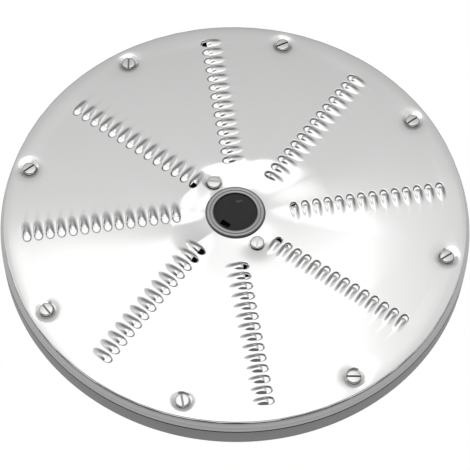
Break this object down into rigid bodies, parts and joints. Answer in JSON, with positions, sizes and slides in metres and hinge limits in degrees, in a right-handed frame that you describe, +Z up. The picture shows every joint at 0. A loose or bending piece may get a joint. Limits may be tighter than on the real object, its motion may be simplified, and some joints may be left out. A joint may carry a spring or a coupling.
{
  "type": "grating disc",
  "caption": "Round grating disc for a vegetable cutter: a bright steel plate with radial rows of raised scoop teeth, screwed to a spoked aluminium carrier with a deep rim and a centre hub.",
  "frame": {"origin": "centre of the base of the rim, on the turning axis", "axes": "+Z up along the turning axis, out of the grating face; +X along one spoke; +Y through one of the two hub screws"},
  "size_m": [0.205, 0.205, 0.0172],
  "materials": {
    "plate_steel": "polished stainless sheet, slightly wavy, with fine scratches",
    "cast_aluminium": "grey cast aluminium, turned on the rim and the boss",
    "dark_plastic": "moulded black plastic, satin",
    "screw_steel": "bright steel, turned heads with worn slots"
  },
  "bodies": {
    "root": {"grating_plate": "plate_steel", "carrier": "cast_aluminium", "hub_plug": "dark_plastic", "rim_screws": "screw_steel", "hub_screws": "screw_steel"}
  },
  "joints": []
}
